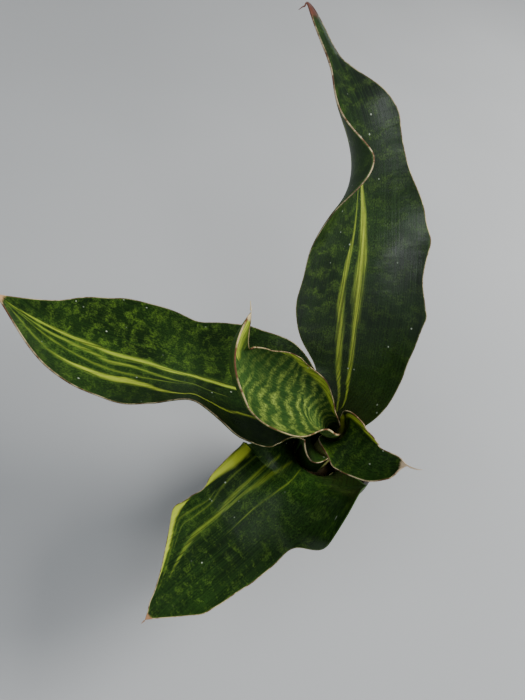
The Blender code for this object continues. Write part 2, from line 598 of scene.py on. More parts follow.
    def _ends(self, g: ShaderGraph, colour: Socket, place: Socket, jag: Socket) -> Socket:
        """Add the duller underside, pale sheath, flecks, horny margin and dry tip.

        Args:
            g: The material's graph.
            colour: The colour so far.
            place: Place on the leaf in mm.
            jag: Noise drawn out along the leaf.

        Returns:
            The finished colour.
        """
        dull = g.mix(0.5, colour, self.mid)
        colour = g.mix(g.times(g.attribute("under"), 0.8), colour, dull)
        base = g.step(g.attribute("base_mm"), 0.7 * self.sheath_mm, self.sheath_mm, 1.0, 0.0)
        base = g.times(base, g.step(jag, 0.30, 0.60, 0.7, 1.0))
        colour = g.mix(base, colour, self.sheath)
        dots = g.step(g.cells(g.scaled(place, (0.15, 0.13, 0.1))), 0.045, 0.10, 1.0, 0.0)
        few = g.step(g.noise(place, 0.09, 1.0), 0.50, 0.58)
        colour = g.mix(g.times(dots, few), colour, self.fleck)
        edge = g.attribute("edge_mm")
        along = g.noise(place, (0.0, 0.10, 0.0), 4.0, 0.7)
        rim = g.mix(g.step(along, 0.42, 0.58), self.margin, self.margin_brown)
        colour = g.mix(g.step(edge, 0.5, 1.2, 0.3, 0.0), colour, self.stripe_green)
        rim = g.mix(g.step(g.attribute("base_mm"), self.margin_mm,
                           self.margin_mm + self.margin_fade), self.mid, rim)
        colour = g.mix(g.step(edge, 0.28, 0.54, 1.0, 0.0), colour, rim)
        tip = g.vary(g.attribute("tip_mm"), jag, self.dry_mm)
        return g.mix(g.step(tip, 0.4 * self.dry_mm, self.dry_mm, 1.0, 0.0), colour, self.dry)


@dataclass
class Leaf:
    """One leaf, from its sheath on the rhizome to the awn at its tip, in mm and degrees.

    Attributes:
        node: The node that it stands for.
        azimuth: The way that it leans, counted from +Y towards -X.
        place: Its place in the nest of sheaths, the innermost being 0.
        stations: Rows of the midrib's reach past the sheath, rise above the rhizome and drift to
            the leaf's left, the left and right half widths, the roll of the blade, and how far
            its left and right halves curl up.
        finish: Its colours and pattern.
        awn: Reach, rise and drift of the awn's points.
        ripple: Height of the soft waves near the margins.
        phase: Where the waves start, in radians, which also sets its pattern apart.
        dents: Rows of a side, the place and span along the leaf, and how much wider and higher
            the margin is there.
        sheath_inner: Radius of the innermost sheath.
        sheath_step: How much wider each next sheath is.
        thick: Thickness at the midrib, near the base.
        edge_thick: Thickness near the margin and at the tip.
        edge_round: Width of the strip where the margin rounds off.
        awn_half: Half width that the awn tapers from.
        awn_curl: How far the awn's halves curl up.
        rows_each: Fine rows from one station to the next.
        columns: Points across the upper face.
    """

    node: str
    azimuth: float
    place: int
    stations: tuple[tuple[float, ...], ...]
    finish: LeafFinish
    awn: tuple[Triple, ...]
    ripple: float
    phase: float
    dents: tuple[tuple[Side, float, float, float, float], ...] = ()
    sheath_inner: float = 5.0
    sheath_step: float = 3.2
    thick: float = 2.1
    edge_thick: float = 0.9
    edge_round: float = 0.5
    awn_half: float = 0.6
    awn_curl: float = 20.0
    rows_each: int = 24
    columns: int = 57

    def build(self, seat_z: float) -> bpy.types.Object:
        """Make the leaf.

        Args:
            seat_z: Height of the rhizome's top, in metres.

        Returns:
            The leaf's object.
        """
        run, along = self._run()
        even = np.linspace(-1, 1, self.columns)
        # The columns lie closer together towards the margins.
        across = 0.45 * np.sin(even * math.pi / 2) + 0.55 * even
        upper, half = self._upper_face(run, along, across, seat_z)
        thick = self._thickness(along, across, half)
        lower = upper - self._normals(upper) * thick[..., None] * MM
        rings = self._around(upper, lower)
        leaf = mesh_object(self.node + "_blade", rings.reshape(-1, 3),
                           ring_faces(*rings.shape[:2]), self.finish.material())
        self._dress(leaf.data, upper, along, across, half)
        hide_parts(self.node)
        return leaf

    def _around(self, upper: np.ndarray, lower: np.ndarray) -> np.ndarray:
        """Close each row of the upper and lower faces into a ring.

        Args:
            upper: Values on the upper face.
            lower: Values on the lower face, whose outer columns are left out.

        Returns:
            The values round each ring.
        """
        return np.concatenate([upper, lower[:, self.columns - 2:0:-1]], axis=1)

    def _run(self) -> tuple[np.ndarray, np.ndarray]:
        """Read the stations finely, the awn included.

        Returns:
            The fine rows, and each one's share of the leaf's length (above 1 on the awn).
        """
        rows = [list(map(float, station)) for station in self.stations]
        for number, (reach, rise, drift) in enumerate(self.awn):
            half = self.awn_half * (1 - (number + 1) / (len(self.awn) + 0.4))
            rows.append([reach, rise, drift, half, half, 0.0, self.awn_curl, self.awn_curl])
        table = np.array(rows)
        place = np.linspace(0, len(table) - 1, (len(table) - 1) * self.rows_each + 1)
        return smooth_run(table, place), place / (len(self.stations) - 1)

    def _upper_face(self, run: np.ndarray, along: np.ndarray, across: np.ndarray,
                    seat_z: float) -> tuple[np.ndarray, np.ndarray]:
        """Place the points of the upper face.

        Args:
            run: The fine rows.
            along: Share of the length for each row.
            across: Share of the half width for each column.
            seat_z: Height of the rhizome's top, in metres.

        Returns:
            The points in metres, and the half width in mm at each of them.
        """
        midrib, level, raised = self._spine(run)
        half, lift = self._halves(run, along, across)
        curl = np.radians(np.where(across[None, :] >= 0, run[:, 6:7], run[:, 7:8]))
        bend = np.abs(across) * curl
        sideways = np.sign(across) * half / curl * np.sin(bend)
        height = half / curl * (1 - np.cos(bend)) + self._waves(along, across, half) + lift
        points = (midrib[:, None, :] + sideways[..., None] * level[:, None, :]
                  + height[..., None] * raised[:, None, :])
        return points * MM + np.array([0.0, 0.0, seat_z]), half

    def _spine(self, run: np.ndarray) -> tuple[np.ndarray, np.ndarray, np.ndarray]:
        """Follow the midrib and carry the blade's own directions along it.

        Args:
            run: The fine rows.

        Returns:
            The midrib in mm, then the directions across the blade and up from it.
        """
        turn = math.radians(self.azimuth)
        out = np.array([-math.sin(turn), math.cos(turn), 0.0])
        left = np.array([-math.cos(turn), -math.sin(turn), 0.0])
        up = np.array([0.0, 0.0, 1.0])
        sheath = self.sheath_inner + self.place * self.sheath_step
        midrib = (sheath + run[:, 0:1]) * out + run[:, 2:3] * left + run[:, 1:2] * up
        tangent = np.gradient(midrib, axis=0)
        tangent /= np.linalg.norm(tangent, axis=1, keepdims=True)
        # The way across is carried along the midrib without twisting about it.
        side, sides = left, []
        for step in tangent:
            side = side - step * side.dot(step)
            side = side / np.linalg.norm(side)
            sides.append(side)
        flat = np.array(sides)
        inward = np.cross(tangent, flat)
        roll = np.radians(run[:, 5:6])
        level = flat * np.cos(roll) + inward * np.sin(roll)
        raised = inward * np.cos(roll) - flat * np.sin(roll)
        return midrib, level, raised

    def _halves(self, run: np.ndarray, along: np.ndarray,
                across: np.ndarray) -> tuple[np.ndarray, np.ndarray]:
        """Work out the half widths, with their dents.

        Args:
            run: The fine rows.
            along: Share of the length for each row.
            across: Share of the half width for each column.

        Returns:
            The half width and how much the dents lift the blade, in mm at each point.
        """
        half = np.maximum(np.where(across[None, :] >= 0, run[:, 3:4], run[:, 4:5]), 0.08)
        half = half * (1 + self._wander(along)[:, None] * np.abs(across) ** 2)
        lift = np.zeros_like(half)
        for side, where, span, wider, higher in self.dents:
            near = np.exp(-((along - where) / span) ** 2)[:, None]
            near = near * (np.sign(across) == side.value)[None, :]
            half = half + wider * near
            lift = lift + higher * near * np.abs(across)[None, :] ** 4
        return half, lift

    def _wander(self, along: np.ndarray) -> np.ndarray:
        """Return a small uneven change of width along the leaf."""
        # The sheath and the tip keep their width.
        free = smooth_step(along, 0.25, 0.4) * (1 - smooth_step(along, 0.85, 1.0))
        return free * (0.012 * np.sin(31 * along + self.phase)
                       + 0.008 * np.sin(67 * along + 2.3 * self.phase))

    def _waves(self, along: np.ndarray, across: np.ndarray, half: np.ndarray) -> np.ndarray:
        """Return the height in mm of the soft waves near the margins.

        Args:
            along: Share of the length for each row.
            across: Share of the half width for each column.
            half: Half width in mm.

        Returns:
            The height at each point.
        """
        # Only the free blade waves, most at its margins and not where it is narrow.
        free = (smooth_step(along, 0.35, 0.5) * (1 - smooth_step(along, 0.9, 1.0)))[:, None]
        side = np.sign(across)[None, :] * 1.7
        wave = (np.sin(24 * along[:, None] + side + self.phase)
                + 0.6 * np.sin(53 * along[:, None] - side + 1.9 * self.phase))
        return self.ripple * free * wave * np.abs(across)[None, :] ** 3 * (half > 6)

    def _normals(self, points: np.ndarray) -> np.ndarray:
        """Return the upper face's normals."""
        normal = np.cross(np.gradient(points, axis=0), np.gradient(points, axis=1))
        return normal / np.maximum(np.linalg.norm(normal, axis=2, keepdims=True), 1e-12)

    def _thickness(self, along: np.ndarray, across: np.ndarray,
                   half: np.ndarray) -> np.ndarray:
        """Return the thickness in mm at each point of the upper face.

        Args:
            along: Share of the length for each row.
            across: Share of the half width for each column.
            half: Half width in mm.

        Returns:
            The thickness.
        """
        body = (self.thick - self.edge_thick) * (1 - np.abs(across) ** 1.5)[None, :]
        body = self.edge_thick + body * (1 - np.clip(along, 0, 1)[:, None] ** 2)
        from_edge = half * (1 - np.abs(across))[None, :]
        inside = np.clip(from_edge / self.edge_round, 0, 1)
        round_edge = np.sqrt(np.clip(1 - (1 - inside) ** 2, 0, 1))
        return np.minimum(body * round_edge, 1.6 * half)

    def _mottle(self, along: np.ndarray, across: np.ndarray) -> np.ndarray:
        """Return the strength of the mottling at each point.

        Args:
            along: Share of the length for each row.
            across: Share of the half width for each column.

        Returns:
            The strength.
        """
        table = np.array(self.finish.mottle)
        right = np.interp(along, table[:, 0], table[:, 1])[:, None]
        left = np.interp(along, table[:, 0], table[:, 2])[:, None]
        return right + (left - right) * smooth_step(across, -0.25, 0.25)[None, :]

    def _dress(self, mesh: bpy.types.Mesh, upper: np.ndarray, along: np.ndarray,
               across: np.ndarray, half: np.ndarray) -> None:
        """Store what the material reads at each point.

        Args:
            mesh: The leaf's mesh.
            upper: Points of the upper face.
            along: Share of the length for each row.
            across: Share of the half width for each column.
            half: Half width in mm.
        """
        midrib = upper[:, self.columns // 2]
        steps = np.linalg.norm(np.diff(midrib, axis=0), axis=1) / MM
        length = np.concatenate([[0.0], np.cumsum(steps)])
        end = np.interp(1.0, along, length)
        spread = np.broadcast_to(across, half.shape)
        reach = np.broadcast_to(length[:, None], half.shape)
        fields = {
            "edge_mm": half * (1 - np.abs(spread)),
            "base_mm": reach,
            "tip_mm": end - reach,
            "mottle": self._mottle(along, across),
        }
        for number, streak in enumerate(self.finish.streaks):
            fields[f"streak_{number}"] = streak.offset(along, spread, half)
            there = streak.presence(along)[:, None]
            fields[f"presence_{number}"] = np.broadcast_to(there, half.shape)
        for name, values in fields.items():
            store(mesh, name, self._around(values, values).ravel())
        under = self._around(np.zeros_like(half), np.ones_like(half))
        store(mesh, "under", under.ravel())
        width = spread * half
        # The third axis sets the two faces apart, and each leaf from the next.
        place = np.stack([self._around(width, width), self._around(reach, reach),
                          40.0 * under + 7.0 * self.phase], axis=-1)
        store(mesh, "leaf_mm", place.reshape(-1, 3))


@dataclass(frozen=True)
class EarthFinish:
    """A rough, natural surface such as bark, peat, root or perlite.

    Attributes:
        name: The material's name.
        dark: Colour of the darker patches, and the painted shade in the pits of the grain.
        light: Colour of the lighter patches.
        fleck: Colour of the fine flecks.
        grain_mm: Size of the grain.
        rough: Roughness.
        depth_mm: Depth of the grain.
        stretch: How much finer the grain is along each axis.
    """

    name: str
    dark: Colour
    light: Colour
    fleck: Colour
    grain_mm: float
    rough: float
    depth_mm: float
    stretch: Triple = (1.0, 1.0, 1.0)

    def material(self) -> bpy.types.Material:
        """Build the material.

        Returns:
            The material.
        """
        g = ShaderGraph(self.name)
        scale = tuple(number / (self.grain_mm * MM) for number in self.stretch)
        place = g.scaled(g.object_space(), scale)
        coarse = g.noise(place, 0.35, 4.0, 0.65)
        fine = g.noise(place, 1.6, 4.0, 0.7)
        cells = g.cells(place)
        colour = g.mix(g.step(coarse, 0.36, 0.64), self.dark, self.light)
        colour = g.mix(g.step(fine, 0.60, 0.72, 0.0, 0.8), colour, self.fleck)
        # Painted shade: the pits of the grain, the low points of the cell bump below, are darkened.
        colour = g.mix(g.step(cells, 0.0, 0.45, 0.55, 0.0), colour, self.dark)
        rough = g.step(fine, 0.3, 0.7, self.rough - 0.1, min(1.0, self.rough + 0.05))
        normal = g.bump(cells, 0.5, self.depth_mm * MM)
        normal = g.bump(fine, 0.8, self.depth_mm * MM, normal)
        return g.finish(colour, rough, normal)


@dataclass(frozen=True)
class PlasticFinish:
    """Thin moulded plastic, a little dusty and scuffed.

    Attributes:
        name: The material's name.
        base: Its own colour.
        worn: Colour of its scuffs.
        dust: Colour of the dust at its foot and rim.
        rough: Roughness.
    """

    name: str = "pot_plastic_fine"
    base: Colour = (0.030, 0.028, 0.027)
    worn: Colour = (0.075, 0.070, 0.066)
    dust: Colour = (0.16, 0.13, 0.10)
    rough: float = 0.46

    def material(self) -> bpy.types.Material:
        """Build the material.

        Returns:
            The material.
        """
        g = ShaderGraph(self.name)
        place = g.object_space()
        flow = g.noise(place, (90.0, 90.0, 9.0), 3.0, 0.6)
        scuff = g.noise(place, (60.0, 60.0, 420.0), 4.0, 0.7)
        mottle = g.noise(place, 70.0, 4.0, 0.6)
        pores = g.noise(place, 1400.0)
        colour = g.mix(g.step(flow, 0.35, 0.65, 0.0, 0.35), self.base, self.worn)
        colour = g.mix(g.step(scuff, 0.60, 0.72, 0.0, 0.6), colour, self.worn)
        level = g.axis(place, "Z")
        foot = g.step(level, 0.002, 0.022, 0.55, 0.0)
        rim = g.step(level, 0.066, 0.0745, 0.0, 0.35)
        dusty = g.times(g.math("ADD", foot, rim), g.step(mottle, 0.42, 0.60))
        colour = g.mix(dusty, colour, self.dust)
        rough = g.plus(g.step(mottle, 0.3, 0.7, self.rough - 0.05, self.rough + 0.1), dusty, 0.3)
        normal = g.bump(pores, 0.25, 0.12 * MM)
        normal = g.bump(flow, 0.15, 0.4 * MM, normal)
        return g.finish(colour, rough, normal)


@dataclass
class NurseryPot:
    """A thin tapered pot with a rolled rim, fine rings and drainage holes, in mm.

    Attributes:
        height: Its height.
        top: Outside radius of the rim.
        foot: Outside radius of the bottom.
        wall: Thickness of wall and bottom.
        rim_drop: Height of the rim's band.
        rim_step: How far the band stands out.
        lip: Radius of the rolled lip.
        rings: Heights of the fine rings round the wall.
        ring_out: How far a ring stands out.
        hole: Radius of a drainage hole.
        hole_ring: Radius of the circle that the holes are on.
        holes: Number of holes.
        drill_depth: Length of the drill that cuts them.
        segments: Points round the pot.
        finish: Its plastic.
    """

    height: float = 75.0
    top: float = 40.5
    foot: float = 30.0
    wall: float = 1.8
    rim_drop: float = 9.0
    rim_step: float = 1.6
    lip: float = 0.9
    rings: tuple[float, ...] = (58.0, 12.0)
    ring_out: float = 0.28
    hole: float = 3.0
    hole_ring: float = 17.0
    holes: int = 6
    drill_depth: float = 8.0
    segments: int = 192
    finish: PlasticFinish = field(default_factory=PlasticFinish)

    def wall_radius(self, z: float) -> float:
        """Return the outside radius in mm at a height."""
        return self.foot + (self.top - self.rim_step - self.foot) * z / self.height

    def profile(self) -> list[tuple[float, float]]:
        """List the pot's section, up the inside and down the outside.

        Returns:
            Radius and height of each point, in mm.
        """
        high, wall, lip = self.height, self.wall, self.lip
        lip_in = self.wall_radius(high) - wall
        rim = high - self.rim_drop
        section = [(6.0, wall), (self.wall_radius(wall) - 2 * wall, wall)]
        section += self._arc(self.wall_radius(2 * wall) - 2 * wall, 2 * wall, wall, -90, 0)
        section += [(self.wall_radius(z) - wall, z) for z in (14.0, 30.0, 46.0, 60.0)]
        section += [(lip_in, high - 1.2)]
        section += self._arc(lip_in + lip, high - lip, lip, 180, 90)
        section += self._arc(self.top - lip, high - lip, lip, 90, 0)
        section += [(self.top, high - 2.6), (self.top - 0.25, high - 3.0),
                    (self.top - 0.3, rim + 1.0)]
        section += self._arc(self.top - 1.0, rim + 0.5, 0.7, 0, -90)
        section += [(self.wall_radius(rim) + 0.1, rim - 0.3), (self.wall_radius(rim), rim - 0.8)]
        for ring in self.rings:
            here = self.wall_radius(ring)
            section += [(here, ring + 0.9), (here + self.ring_out, ring + 0.5),
                        (here + self.ring_out, ring - 0.5), (here, ring - 0.9)]
            section += [(self.wall_radius(z), z) for z in (44.0, 28.0) if z < ring]
        section += [(self.wall_radius(3.0), 3.0)]
        section += self._arc(self.foot - 1.0, 1.0, 1.0, 0, -90)
        section += [(self.foot - 3.0, 0.0), (self.foot - 3.6, 0.5), (7.0, 0.5)]
        return section

    def _arc(self, x: float, z: float, radius: float, start: float,
             end: float) -> list[tuple[float, float]]:
        """List points round a corner.

        Args:
            x: Radius of the corner's centre from the pot's axis, in mm.
            z: Height of the corner's centre, in mm.
            radius: The corner's own radius, in mm.
            start: First angle, in degrees.
            end: Last angle, in degrees.

        Returns:
            The points.
        """
        turns = np.radians(np.linspace(start, end, 6))
        return [(x + radius * math.cos(t), z + radius * math.sin(t)) for t in turns]

    def build(self) -> bpy.types.Object:
        """Turn the section and cut the drainage holes.

        Returns:
            The pot.
        """
        pot = mesh_object("nursery_pot", *self._turned(), self.finish.material())
        bpy.context.view_layer.update()
        for number in range(self.holes):
            turn = FULL_TURN * (number + 0.5) / self.holes
            self._cut(pot, Vector((math.cos(turn), math.sin(turn), 0.0)) * self.hole_ring * MM)
        pot.data.shade_smooth()
        pot.data.set_sharp_from_angle(angle=math.radians(40))
        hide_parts("pot")
        return pot

    def _turned(self) -> tuple[np.ndarray, Faces]:
        """Turn the section about the pot's axis.

        Returns:
            The points in metres, and the faces.
        """
        section = np.array(self.profile())
        turns = np.linspace(0, FULL_TURN, self.segments, endpoint=False)
        rings = np.stack([section[:, 0:1] * np.cos(turns), section[:, 0:1] * np.sin(turns),
                          np.repeat(section[:, 1:2], len(turns), axis=1)], axis=-1)
        return rings.reshape(-1, 3) * MM, ring_faces(*rings.shape[:2])

    def _cut(self, pot: bpy.types.Object, place: Vector) -> None:
        """Cut one hole through the bottom.

        Args:
            pot: The pot.
            place: Middle of the hole.
        """
        drill_mesh = bpy.data.meshes.new("drill")
        bm = bmesh.new()
        bmesh.ops.create_cone(bm, cap_ends=True, segments=40, radius1=self.hole * MM,
                              radius2=self.hole * MM, depth=self.drill_depth * MM,
                              matrix=Matrix.Translation(place))
        bm.to_mesh(drill_mesh)
        bm.free()
        drill = linked("drill", drill_mesh)
        cut = pot.modifiers.new("cut", "BOOLEAN")
        cut.operation = "DIFFERENCE"
        cut.object = drill
        bpy.context.view_layer.update()
        ready = pot.evaluated_get(bpy.context.evaluated_depsgraph_get())
        pot.data = bpy.data.meshes.new_from_object(ready)
        pot.modifiers.clear()
        bpy.data.objects.remove(drill)


@dataclass
class Rhizome:
    """The knobbly stem base that the sheaths grow from, in mm.

    Attributes:
        radius: Its widest radius.
        height: Its height.
        clearance: How far its top stays below the sheaths.
        rows: Rings of points down it.
        columns: Points round it.
        finish: Its skin.
    """

    radius: float = 19.5
    height: float = 20.0
    clearance: float = 0.4
    rows: int = 48
    columns: int = 120
    finish: EarthFinish = EarthFinish("rhizome_skin", (0.06, 0.036, 0.016), (0.22, 0.15, 0.065),
                                      (0.34, 0.27, 0.14), 3.0, 0.7, 0.3, (1.0, 1.0, 3.0))

    def build(self, seat_z: float) -> bpy.types.Object:
        """Make the rhizome.

        Args:
            seat_z: Height of its top, in metres.

        Returns:
            The rhizome.
        """
        turns = np.linspace(0, FULL_TURN, self.columns, endpoint=False)
        depth = np.linspace(0.0, 1.0, self.rows)[:, None]
        # It swells from a narrow top and draws in to a quarter of its radius at the foot.
        body = self.radius * np.sin(np.clip(0.12 + depth * 1.15, 0, 1) * math.pi / 2)
        body = body * np.sqrt(np.clip(1 - np.clip(depth - 0.25, 0, 1) ** 2 / 0.60, 0.03, 1))
        # Fine leaf scars go round it, over three broad and seven small knobs.
        scars = 0.25 * np.sin(depth * 40 * math.pi)
        knobs = 0.5 * np.sin(3 * turns + 5 * depth) + 0.3 * np.sin(7 * turns - 9 * depth)
        radius = np.minimum(body - 0.8 + 0.5 * scars + 0.6 * knobs, self.radius)
        z = np.broadcast_to(-depth * (self.height - self.clearance) - self.clearance, radius.shape)
        points = np.stack([radius * np.cos(turns), radius * np.sin(turns), z], axis=-1) * MM
        points[..., 2] += seat_z
        stem = mesh_object("rhizome_body", points.reshape(-1, 3),
                           ring_faces(self.rows, self.columns), self.finish.material())
        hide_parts("rhizome")
        return stem


@dataclass(frozen=True)
class GrainMix:
    """How many bits of one kind lie on the mix, how large, and of what finish.

    Attributes:
        kind: The kind of bit.
        count: How many.
        smallest: Smallest size in mm.
        largest: Largest size in mm.
        flat: Thickness as a share of the size.
        finish: Its finish.
    """

    kind: Grain
    count: int
    smallest: float
    largest: float
    flat: float
    finish: EarthFinish


@dataclass
class PottingBed:
    """The mix in the pot, closed in around the sheaths, with loose bits on it, in mm.

    Attributes:
        surface: Height of the surface at the wall.
        crown: How much higher it is by the plant.
        edge: Radius of the surface.
        foot: Radius where the side ends.
        base_z: Height where the side ends.
        floor_z: Height of the underside.
        rhizome: Radius of the pocket round the rhizome.
        pocket_z: Height of the pocket's floor.
        grains: The loose bits.
        finish: The mix's own looks.
        pocket: Depth of the pocket.
        crown_radius: Radius inside which the surface stops rising.
        wall_sink: How far below the surface the side starts.
        wall_strip: Width of the strip by the wall where the surface dips.
        wall_slope: How steeply it dips there.
        lumps: Size, seed and height of its coarse and its fine lumps.
        band: Half the height of the slice of sheath that the mix closes in on.
        sheath_limit: Radius past which a leaf point is blade and not sheath.
        sheath_gap: Space between mix and sheath.
        columns: Points round the bed.
        inner: Inner radius of the surface at each column, found by build.
    """

    surface: float
    crown: float
    edge: float
    foot: float
    base_z: float
    floor_z: float
    rhizome: float
    pocket_z: float
    grains: tuple[GrainMix, ...]
    finish: EarthFinish
    pocket: float = 18.0
    crown_radius: float = 18.0
    wall_sink: float = 1.8
    wall_strip: float = 1.5
    wall_slope: float = 0.9
    lumps: tuple[Triple, ...] = ((5.5, 3.1, 0.55), (1.7, 7.7, 0.45))
    band: float = 1.8
    sheath_limit: float = 27.0
    sheath_gap: float = 0.25
    columns: int = 288
    inner: np.ndarray = field(default_factory=lambda: np.zeros(0))

    def build(self, leaves: list[bpy.types.Object]) -> list[bpy.types.Object]:
        """Make the bed and its loose bits.

        Args:
            leaves: The leaves that stand in it.

        Returns:
            The bed, then one object for each kind of bit.
        """
        self.inner = self._sheath_outline(leaves)
        pieces = [self._bed()]
        for number, mix in enumerate(self.grains):
            pieces.append(self._scatter(mix, np.random.default_rng(40 + number)))
        return pieces

    def _sheath_outline(self, leaves: list[bpy.types.Object]) -> np.ndarray:
        """Find how far out the sheaths reach at the surface, all the way round.

        Args:
            leaves: The leaves.

        Returns:
            The radius in mm at each of the bed's columns.
        """
        reach = np.zeros(self.columns)
        for leaf in leaves:
            points = np.array([vert.co for vert in leaf.data.vertices]) / MM
            points = points[np.abs(points[:, 2] - self.surface) < self.band]
            radius = np.hypot(points[:, 0], points[:, 1])
            sheath = radius < self.sheath_limit
            points, radius = points[sheath], radius[sheath]
            turn = np.arctan2(points[:, 1], points[:, 0]) % FULL_TURN
            column = np.rint(turn / FULL_TURN * self.columns).astype(int) % self.columns
            np.maximum.at(reach, column, radius)
        for _ in range(3):
            reach = np.maximum(reach, np.maximum(np.roll(reach, 1), np.roll(reach, -1)))
        smooth = sum(np.roll(reach, shift) for shift in range(-3, 4)) / 7
        return np.maximum(reach, smooth) + self.sheath_gap

    def height(self, radius: np.ndarray, turn: np.ndarray) -> np.ndarray:
        """Return the surface's height in mm.

        Args:
            radius: Distance from the axis, in mm.
            turn: Angle round the axis.

        Returns:
            The height.
        """
        share = np.clip((self.edge - radius) / (self.edge - self.crown_radius), 0, 1)
        x, y = radius * np.cos(turn), radius * np.sin(turn)
        lumps = [sum(noise.noise(Vector((a / size, b / size, seed))) * tall
                     for size, seed, tall in self.lumps)
                 for a, b in zip(x.ravel(), y.ravel())]
        by_wall = np.clip(radius - self.edge + self.wall_strip, 0, self.wall_strip)
        return (self.surface + self.crown * share + np.array(lumps).reshape(x.shape)
                - self.wall_slope * by_wall)

    def _bed(self) -> bpy.types.Object:
        """Make the bed itself.

        Returns:
            The bed.
        """
        turns = np.linspace(0, FULL_TURN, self.columns, endpoint=False)
        rows = []
        for share in np.linspace(0, 1, 40):
            radius = self.inner + (self.edge - self.inner) * share
            rows.append((radius, self.height(radius, turns)))
        top, low = self.surface - self.wall_sink, self.floor_z
        for share in np.linspace(0, 1, 14):
            radius = self.edge + (self.foot - self.edge) * share
            rows.append((radius, top + (self.base_z - top) * share))
        rows += [(self.foot - 3.6, low), (self.foot * 0.6, low), (2.0, low),
                 (2.0, self.pocket_z), (self.rhizome, self.pocket_z),
                 (self.rhizome, self.pocket_z + self.pocket)]
        flat = np.ones(self.columns)
        rings = np.stack([np.stack([r * np.cos(turns), r * np.sin(turns), z * flat], axis=-1)
                          for r, z in rows])
        count = len(rings)
        faces = ring_faces(count, self.columns)[:-2]
        for column in range(self.columns):
            beside = (column + 1) % self.columns
            last = (count - 1) * self.columns
            faces.append((last + column, last + beside, beside, column))
        bed = mesh_object("mix_bed", rings.reshape(-1, 3) * MM, faces, self.finish.material())
        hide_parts("potting_mix")
        return bed

    def _scatter(self, mix: GrainMix, random: np.random.Generator) -> bpy.types.Object:
        """Lay the bits of one kind.

        Args:
            mix: What to lay.
            random: Source of chance.

        Returns:
            All of them as one object.
        """
        bm = bmesh.new()
        for _ in range(mix.count):
            size = random.uniform(mix.smallest, mix.largest)
            turn = random.uniform(0, FULL_TURN)
            column = int(turn / FULL_TURN * self.columns) % self.columns
            low, high = self.inner[column] + 0.6 * size, self.edge - 0.55 * size
            radius = random.uniform(min(low, high), high)
            z = float(self.height(np.array([radius]), np.array([turn]))[0])
            spot = Vector((radius * math.cos(turn), radius * math.sin(turn), z))
            if mix.kind is Grain.FIBRE:
                self._fibre(bm, spot, size, random)
            else:
                self._chip(bm, spot, size, mix.flat, random)
        mesh = bpy.data.meshes.new(mix.kind.value)
        bm.to_mesh(mesh)
        bm.free()
        mesh.materials.append(mix.finish.material())
        if mix.kind is not Grain.BARK:
            mesh.shade_smooth()
        made = linked(mix.kind.value, mesh)
        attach(made, ROOT)
        return made

    def _chip(self, bm: bmesh.types.BMesh, spot: Vector, size: float, flat: float,
              random: np.random.Generator) -> None:
        """Add one lumpy bit.

        Args:
            bm: The mesh to add to.
            spot: Where it lies, in mm.
            size: Its length in mm.
            flat: Thickness as a share of the size.
            random: Source of chance.
        """
        seed = Vector(random.uniform(0, 90, 3))
        tilt = Matrix.Rotation(random.uniform(-0.5, 0.5), 3, "X")
        spin = Matrix.Rotation(random.uniform(0, SPIN_LIMIT), 3, "Z")
        wide = random.uniform(0.5, 0.9)
        made = bmesh.ops.create_icosphere(bm, subdivisions=2, radius=0.5)
        for vert in made["verts"]:
            bump = 1 + 0.55 * noise.noise(2.6 * vert.co + seed)
            shape = Vector((vert.co.x, vert.co.y * wide, vert.co.z * flat)) * size * bump
            vert.co = (spin @ tilt @ shape + spot + Vector((0, 0, 0.22 * size * flat))) * MM

    def _fibre(self, bm: bmesh.types.BMesh, spot: Vector, size: float,
               random: np.random.Generator) -> None:
        """Add one curved thread.

        Args:
            bm: The mesh to add to.
            spot: Its middle, in mm.
            size: Its length in mm.
            random: Source of chance.
        """
        sides = 6
        heading = random.uniform(0, SPIN_LIMIT)
        bend = random.uniform(-1.4, 1.4)
        thick = random.uniform(0.09, 0.17)
        rings = []
        for step in np.linspace(-0.5, 0.5, 9):
            angle = heading + bend * step
            x = spot.x + size * step * math.cos(angle)
            y = spot.y + size * step * math.sin(angle)
            # It is held in where it would go through the pot's wall.
            out = math.hypot(x, y)
            held = min(out, self.edge - 0.6)
            x, y = x * held / out, y * held / out
            z = spot.z + 0.3 + 0.5 * math.sin(6 * step + heading)
            slim = thick * (1.15 - abs(step))
            across = Vector((-math.sin(angle), math.cos(angle), 0.0))
            rings.append([bm.verts.new((Vector((x, y, z)) + across * slim * math.cos(t)
                                        + Vector((0, 0, slim * math.sin(t)))) * MM)
                          for t in np.linspace(0, FULL_TURN, sides, endpoint=False)])
        for near, far in zip(rings, rings[1:]):
            for k in range(sides):
                beside = (k + 1) % sides
                bm.faces.new((near[k], near[beside], far[beside], far[k]))
        bm.faces.new(tuple(reversed(rings[0])))
        bm.faces.new(tuple(rings[-1]))


